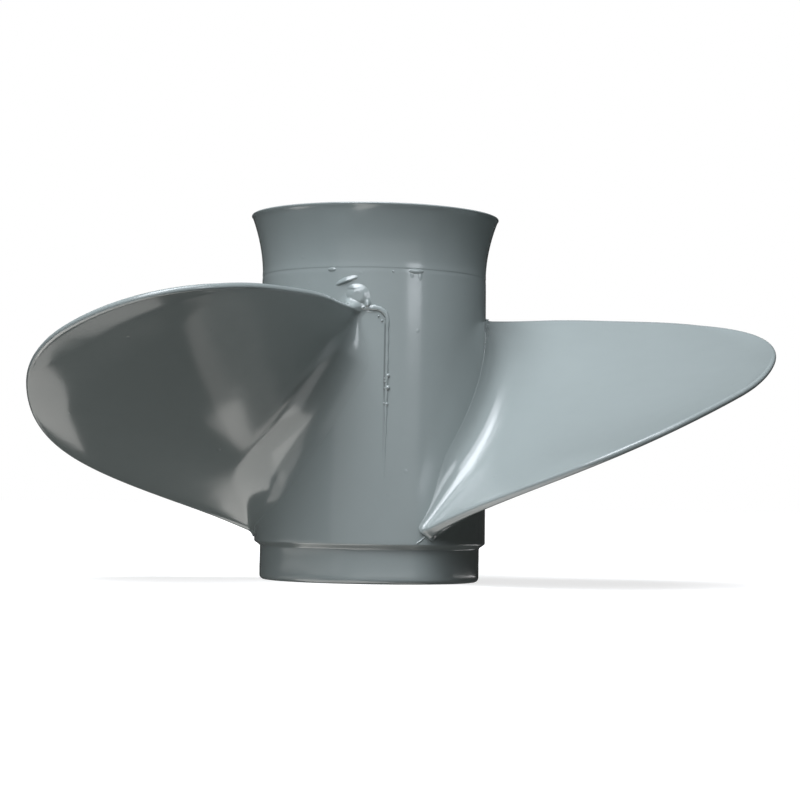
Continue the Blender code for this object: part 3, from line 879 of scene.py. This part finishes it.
def painted_crease_shade(finish):
    """Painted shade: a dark band in the enamel's colour beside each parting line that runs down the hub,
    where a crease would lie in shade.
    """
    turn = finish.maths("ARCTAN2", finish.y, finish.x) * (180 / math.pi)
    sweep = finish.maths("FLOORED_MODULO", turn - BLADE_AZIMUTH, 360 / BLADE_COUNT)
    crease = finish.rise(sweep, CREASE_FROM - CREASE_EDGE, CREASE_FROM)
    crease = crease * finish.rise(sweep, CREASE_TO + CREASE_EDGE, CREASE_TO)
    outside = finish.rise((finish.x**2 + finish.y**2) ** 0.5, *HUB_OUTSIDE)
    strength = CREASE_FAINTNESS + (1 - CREASE_FAINTNESS) * finish.rise(finish.z, *CREASE_FADE)
    length = finish.rise(finish.z, *CREASE_TOP) * finish.rise(finish.z, PARTING_FOOT, PARTING_FOOT + 20 * MM)
    return crease * outside * strength * length


def gloss_enamel(name, roughness=0.15, peel=1.0):
    """Sprayed enamel over a casting: slow waviness, fine orange peel, dust nibs, an uneven gloss and painted
    shade beside the parting lines.
    """
    finish = Finish(name, IOR=1.5)
    broad = finish.noise(finish.place, 18, 2)
    fine = finish.noise(finish.place, 160, 3)
    tone = 0.93 + 0.1 * broad + 0.04 * fine
    # painted shade: the colour darkens in a band beside each parting line
    tone = tone * (1 - PAINTED_SHADE_DARKNESS * painted_crease_shade(finish))
    finish.set("Base Color", finish.shade(ENAMEL, tone))
    finish.set("Roughness", roughness - 0.03 + 0.06 * finish.noise(finish.place, 45, 3, 0.6))
    waves = finish.noise(finish.place, 38, 2)
    surface = finish.bump(waves, 0.22 * MM * peel)
    grain = finish.noise(finish.place, 620, 2)
    surface = finish.bump(grain, 0.011 * MM * peel, surface)
    cells = finish.node("ShaderNodeTexVoronoi", sockets={"Vector": finish.place, "Scale": 95})
    nibs = finish.rise(cells, 0.085, 0.02)
    surface = finish.bump(nibs, 0.035 * MM, surface)
    finish.set("Normal", surface)
    return finish.material


def moulded_rubber(name):
    """Matt black rubber with a faint bloom."""
    finish = Finish(name, IOR=1.5)
    broad = finish.noise(finish.place, 60, 3)
    speck = finish.noise(finish.place, 900, 2)
    bloom = finish.rise(broad, 0.35, 0.75)
    finish.set("Base Color", finish.blend(bloom, (0.012, 0.012, 0.013, 1), (0.035, 0.034, 0.033, 1)))
    finish.set("Roughness", 0.52 + 0.25 * broad)
    finish.set("Normal", finish.bump(speck, 0.04 * MM, finish.bump(broad, 0.2 * MM)))
    return finish.material


def turned_brass(name):
    """Brass off the lathe: fine rings round the shaft axis, tarnished unevenly."""
    finish = Finish(name, Metallic=1.0)
    rings = finish.noise(finish.node("ShaderNodeCombineXYZ", sockets={2: finish.z * 14}), 260, 2)
    tarnish = finish.rise(finish.noise(finish.place, 70, 4, 0.6), 0.42, 0.7)
    finish.set("Base Color", finish.blend(tarnish, (0.67, 0.46, 0.19, 1), (0.42, 0.28, 0.12, 1)))
    finish.set("Roughness", 0.24 + 0.16 * tarnish + 0.08 * rings)
    finish.set("Normal", finish.bump(rings, 0.012 * MM))
    return finish.material


def pale_floor(name):
    """Glows more with distance: it stays pale as far as it is seen, and shadows near the object are soft."""
    finish = Finish(name, Roughness=0.7, Emission_Strength=1.0)
    away = finish.rise((finish.x**2 + finish.y**2) ** 0.5, 0.15, 0.7)
    finish.set("Base Color", finish.shade((0.4, 0.4, 0.395), 0.99 + 0.02 * finish.noise(finish.place, 3, 2)))
    finish.set("Emission Color", finish.shade((1, 1, 1), 0.72 + 0.28 * away))
    return finish.material


def make_world():
    """White behind the object, and dim air round it."""
    world = bpy.data.worlds.new("studio")
    bpy.context.scene.world = world
    world.use_nodes = True
    graph = Graph(world.node_tree)
    background = world.node_tree.nodes["Background"]
    seen = Socket(graph, graph.tree.nodes.new("ShaderNodeLightPath").outputs["Is Camera Ray"])
    graph.feed(background.inputs["Strength"], AIR + (1 - AIR) * seen)
    background.inputs["Color"].default_value = (1, 1, 1, 1)
    bpy.context.scene.view_settings.view_transform = "Standard"


def make_studio():
    """Soft boxes, cards that only reflect, fills that only light, and the glows of the lit floor."""
    make_world()
    add_panel("left_box", -18, 50, 30, 64, 2.2, 7.0, COOL)
    add_panel("right_box", -6, 64, 50, 38, 2.2, 5.8, COOL)
    add_panel("top_box", -10, 84, 50, 40, 2.2, 1.2, COOL).visible_glossy = False
    add_panel("front_card", 5, 2, 86, 26, 2.4, 0.5).visible_diffuse = False
    add_panel("strip", 41, 17, 14, 20, 2.0, 5.4, COOL).visible_diffuse = False
    add_panel("back_fill", 180, 30, 70, 30, 2.2, 0.6).visible_glossy = False
    add_panel("left_fill", -80, -28, 26, 20, 2.2, 2.6).visible_glossy = False
    add_panel("floor_bounce", -25, -80, 90, 90, 2.2, 0.48).visible_glossy = False
    add_panel("sheen_front", -50, -63, 72, 60, 2.2, 3.3, WARM).visible_diffuse = False
    add_panel("sheen_right", 100, -70, 26, 18, 2.2, 2.2, WARM).visible_diffuse = False
    add_glow("floor_glow_left", (-194, -32, 1), (170, 74), 1.5, WARM)
    add_glow("floor_glow_front", (-125, -94, 1), (150, 78), 1.4, WARM)
    add_glow("floor_glow_foot", (-27, -30, 1), (20, 15), 0.65, WARM)
    add_glow("floor_glow_near", (25, -72, 1), (80, 36), 1.2)
    add_glow("floor_glow_right", (68, 2, 0.3), (24, 44), 2.2)


make_camera()
make_studio()
enamel = gloss_enamel("grey_enamel_gloss")
inside_enamel = gloss_enamel("grey_enamel_inside", 0.38, 1.8)
make_floor(pale_floor("pale_floor"))
make_hub_shell(enamel)
make_inner_hub(inside_enamel)
make_webs(inside_enamel)
make_bush(moulded_rubber("black_rubber_moulded"))
make_sleeve(turned_brass("turned_brass_satin"))
make_parting_ridges(enamel, make_blades(enamel))
make_seam_runs(enamel)
